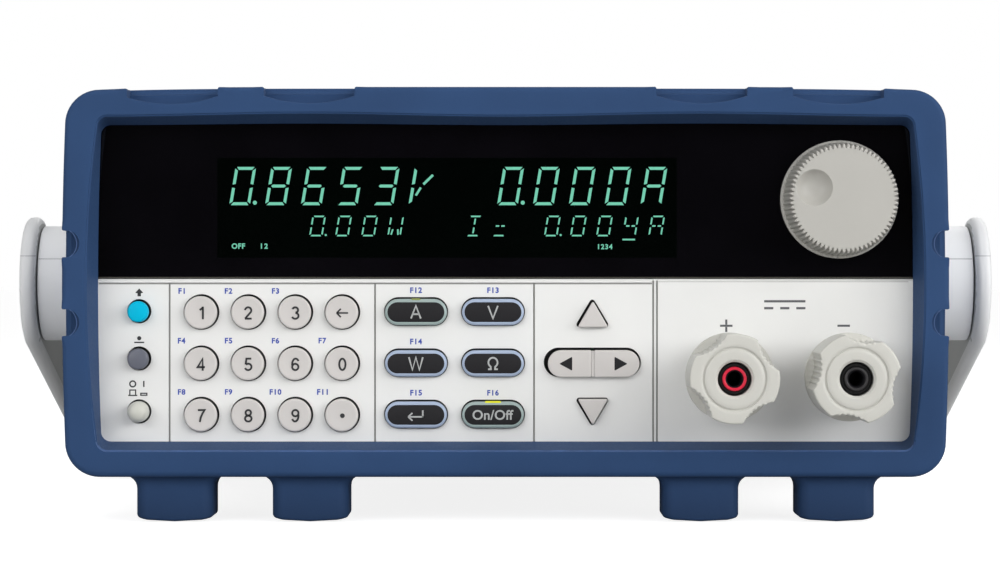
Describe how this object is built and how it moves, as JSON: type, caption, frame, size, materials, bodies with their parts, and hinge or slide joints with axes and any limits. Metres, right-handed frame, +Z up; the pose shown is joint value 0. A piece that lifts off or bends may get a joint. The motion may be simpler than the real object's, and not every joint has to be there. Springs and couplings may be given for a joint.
{
  "type": "dc electronic load",
  "caption": "Bench dc electronic load in a half-rack case with blue rubber bumpers, bail handle, keypad, display window, rotary knob and screw binding posts",
  "frame": {"origin": "on the table under the middle of the object's box", "axes": "+X to the right seen from the front, +Y to the back, +Z up"},
  "size_m": [0.2664, 0.4824, 0.1129],
  "materials": {
    "rubber_blue": "matt moulded rubber",
    "case_paint": "fine textured powder coat",
    "panel_plastic": "satin moulded plastic",
    "window_black": "polished, back-printed black",
    "display_glass": "dark glass",
    "board_green": "solder resist",
    "part_black": "moulded",
    "bright_steel": "plated",
    "core_steel": "laminated core",
    "knob_plastic": "satin moulded plastic",
    "terminal_plastic": "moulded",
    "post_brass": "turned",
    "bar_copper": "flat bar",
    "sink_aluminium": "extruded",
    "sleeve_red": "moulded",
    "sleeve_black": "moulded",
    "connector_black": "moulded",
    "handle_plastic": "fine textured",
    "key_plastic": "satin",
    "mode_plastic": "translucent rim",
    "shift_cyan": "satin",
    "local_grey": "satin",
    "power_cream": "satin"
  },
  "bodies": {
    "chassis": {"front_bumper": "rubber_blue", "rear_bumper": "rubber_blue", "chassis_tray": "case_paint", "top_cover": "case_paint", "front_panel": "panel_plastic", "display_window": "window_black", "display_module": "display_glass", "front_board": "board_green", "key_switches": "part_black", "rotary_encoder": "bright_steel", "terminal_insulators": "terminal_plastic", "terminal_posts": "post_brass", "socket_sleeve_positive": "sleeve_red", "socket_sleeve_negative": "sleeve_black", "bus_bars": "bar_copper", "heatsinks": "sink_aluminium", "power_transistors": "part_black", "circuit_boards": "board_green", "mains_transformer": "core_steel", "power_switch": "part_black", "ac_inlet": "connector_black", "rear_connectors": "connector_black", "fan_frames": "connector_black", "handle_hubs": "handle_plastic"},
    "key_1": {"key_1": "key_plastic"},
    "key_2": {"key_2": "key_plastic"},
    "key_3": {"key_3": "key_plastic"},
    "key_esc": {"key_esc": "key_plastic"},
    "key_4": {"key_4": "key_plastic"},
    "key_5": {"key_5": "key_plastic"},
    "key_6": {"key_6": "key_plastic"},
    "key_0": {"key_0": "key_plastic"},
    "key_7": {"key_7": "key_plastic"},
    "key_8": {"key_8": "key_plastic"},
    "key_9": {"key_9": "key_plastic"},
    "key_point": {"key_point": "key_plastic"},
    "mode_key_current": {"mode_key_current": "mode_plastic"},
    "mode_key_voltage": {"mode_key_voltage": "mode_plastic"},
    "mode_key_power": {"mode_key_power": "mode_plastic"},
    "mode_key_resistance": {"mode_key_resistance": "mode_plastic"},
    "enter_key": {"enter_key": "mode_plastic"},
    "load_key": {"load_key": "mode_plastic"},
    "shift_button": {"shift_button": "shift_cyan"},
    "local_button": {"local_button": "local_grey"},
    "arrow_up_key": {"arrow_up_key": "key_plastic"},
    "arrow_down_key": {"arrow_down_key": "key_plastic"},
    "arrow_left_key": {"arrow_left_key": "key_plastic"},
    "arrow_right_key": {"arrow_right_key": "key_plastic"},
    "power_button": {"power_button": "power_cream", "power_push_rod": "part_black"},
    "rotary_knob": {"rotary_knob": "knob_plastic", "encoder_shaft": "bright_steel"},
    "terminal_washer_positive": {"terminal_washer_positive": "bright_steel"},
    "terminal_nut_positive": {"terminal_nut_positive": "terminal_plastic"},
    "terminal_washer_negative": {"terminal_washer_negative": "bright_steel"},
    "terminal_nut_negative": {"terminal_nut_negative": "terminal_plastic"},
    "carry_handle": {"carry_handle": "handle_plastic"},
    "fan_rotor_left": {"fan_rotor_left": "connector_black"},
    "fan_rotor_right": {"fan_rotor_right": "connector_black"}
  },
  "joints": [
    {"name": "key_1_press", "type": "slide", "parent": "chassis", "child": "key_1", "axis": [0, 1, 0], "range_m": [0, 0.0008], "stiffness_N_per_m": 300},
    {"name": "key_2_press", "type": "slide", "parent": "chassis", "child": "key_2", "axis": [0, 1, 0], "range_m": [0, 0.0008], "stiffness_N_per_m": 300},
    {"name": "key_3_press", "type": "slide", "parent": "chassis", "child": "key_3", "axis": [0, 1, 0], "range_m": [0, 0.0008], "stiffness_N_per_m": 300},
    {"name": "key_esc_press", "type": "slide", "parent": "chassis", "child": "key_esc", "axis": [0, 1, 0], "range_m": [0, 0.0008], "stiffness_N_per_m": 300},
    {"name": "key_4_press", "type": "slide", "parent": "chassis", "child": "key_4", "axis": [0, 1, 0], "range_m": [0, 0.0008], "stiffness_N_per_m": 300},
    {"name": "key_5_press", "type": "slide", "parent": "chassis", "child": "key_5", "axis": [0, 1, 0], "range_m": [0, 0.0008], "stiffness_N_per_m": 300},
    {"name": "key_6_press", "type": "slide", "parent": "chassis", "child": "key_6", "axis": [0, 1, 0], "range_m": [0, 0.0008], "stiffness_N_per_m": 300},
    {"name": "key_0_press", "type": "slide", "parent": "chassis", "child": "key_0", "axis": [0, 1, 0], "range_m": [0, 0.0008], "stiffness_N_per_m": 300},
    {"name": "key_7_press", "type": "slide", "parent": "chassis", "child": "key_7", "axis": [0, 1, 0], "range_m": [0, 0.0008], "stiffness_N_per_m": 300},
    {"name": "key_8_press", "type": "slide", "parent": "chassis", "child": "key_8", "axis": [0, 1, 0], "range_m": [0, 0.0008], "stiffness_N_per_m": 300},
    {"name": "key_9_press", "type": "slide", "parent": "chassis", "child": "key_9", "axis": [0, 1, 0], "range_m": [0, 0.0008], "stiffness_N_per_m": 300},
    {"name": "key_point_press", "type": "slide", "parent": "chassis", "child": "key_point", "axis": [0, 1, 0], "range_m": [0, 0.0008], "stiffness_N_per_m": 300},
    {"name": "mode_key_current_press", "type": "slide", "parent": "chassis", "child": "mode_key_current", "axis": [0, 1, 0], "range_m": [0, 0.0008], "stiffness_N_per_m": 300},
    {"name": "mode_key_voltage_press", "type": "slide", "parent": "chassis", "child": "mode_key_voltage", "axis": [0, 1, 0], "range_m": [0, 0.0008], "stiffness_N_per_m": 300},
    {"name": "mode_key_power_press", "type": "slide", "parent": "chassis", "child": "mode_key_power", "axis": [0, 1, 0], "range_m": [0, 0.0008], "stiffness_N_per_m": 300},
    {"name": "mode_key_resistance_press", "type": "slide", "parent": "chassis", "child": "mode_key_resistance", "axis": [0, 1, 0], "range_m": [0, 0.0008], "stiffness_N_per_m": 300},
    {"name": "enter_key_press", "type": "slide", "parent": "chassis", "child": "enter_key", "axis": [0, 1, 0], "range_m": [0, 0.0008], "stiffness_N_per_m": 300},
    {"name": "load_key_press", "type": "slide", "parent": "chassis", "child": "load_key", "axis": [0, 1, 0], "range_m": [0, 0.0008], "stiffness_N_per_m": 300},
    {"name": "shift_button_press", "type": "slide", "parent": "chassis", "child": "shift_button", "axis": [0, 1, 0], "range_m": [0, 0.0008], "stiffness_N_per_m": 300},
    {"name": "local_button_press", "type": "slide", "parent": "chassis", "child": "local_button", "axis": [0, 1, 0], "range_m": [0, 0.0008], "stiffness_N_per_m": 300},
    {"name": "arrow_up_key_press", "type": "slide", "parent": "chassis", "child": "arrow_up_key", "axis": [0, 1, 0], "range_m": [0, 0.0008], "stiffness_N_per_m": 300},
    {"name": "arrow_down_key_press", "type": "slide", "parent": "chassis", "child": "arrow_down_key", "axis": [0, 1, 0], "range_m": [0, 0.0008], "stiffness_N_per_m": 300},
    {"name": "arrow_left_key_press", "type": "slide", "parent": "chassis", "child": "arrow_left_key", "axis": [0, 1, 0], "range_m": [0, 0.0008], "stiffness_N_per_m": 300},
    {"name": "arrow_right_key_press", "type": "slide", "parent": "chassis", "child": "arrow_right_key", "axis": [0, 1, 0], "range_m": [0, 0.0008], "stiffness_N_per_m": 300},
    {"name": "power_button_push", "type": "slide", "parent": "chassis", "child": "power_button", "axis": [0, 1, 0], "range_m": [0, 0.004], "stiffness_N_per_m": 200},
    {"name": "knob_turn", "type": "hinge", "parent": "chassis", "child": "rotary_knob", "pos_m": [0.0872, -0.21675, 0.0839], "axis": [0, 1, 0], "continuous": true},
    {"name": "terminal_washer_positive_slide", "type": "slide", "parent": "chassis", "child": "terminal_washer_positive", "axis": [0, -1, 0], "range_m": [0, 0.005]},
    {"name": "terminal_nut_positive_turn", "type": "hinge", "parent": "terminal_washer_positive", "child": "terminal_nut_positive", "pos_m": [0.0577, -0.22675, 0.0379], "axis": [0, -1, 0], "range_deg": [0, 1201]},
    {"name": "terminal_washer_negative_slide", "type": "slide", "parent": "chassis", "child": "terminal_washer_negative", "axis": [0, -1, 0], "range_m": [0, 0.005]},
    {"name": "terminal_nut_negative_turn", "type": "hinge", "parent": "terminal_washer_negative", "child": "terminal_nut_negative", "pos_m": [0.0884, -0.22675, 0.0379], "axis": [0, -1, 0], "range_deg": [0, 1201]},
    {"name": "handle_swing", "type": "hinge", "parent": "chassis", "child": "carry_handle", "pos_m": [0, -0.14875, 0.062], "axis": [-1, 0, 0], "range_deg": [0, 319]},
    {"name": "fan_rotor_left_spin", "type": "hinge", "parent": "chassis", "child": "fan_rotor_left", "pos_m": [-0.0235, 0.21325, 0.062], "axis": [0, 1, 0], "continuous": true},
    {"name": "fan_rotor_right_spin", "type": "hinge", "parent": "chassis", "child": "fan_rotor_right", "pos_m": [0.0635, 0.21325, 0.062], "axis": [0, 1, 0], "continuous": true}
  ],
  "couplings": [
    {"joint": "terminal_nut_positive_turn", "follows": "terminal_washer_positive_slide", "rad_per_m": 4188.8},
    {"joint": "terminal_nut_negative_turn", "follows": "terminal_washer_negative_slide", "rad_per_m": 4188.8}
  ]
}
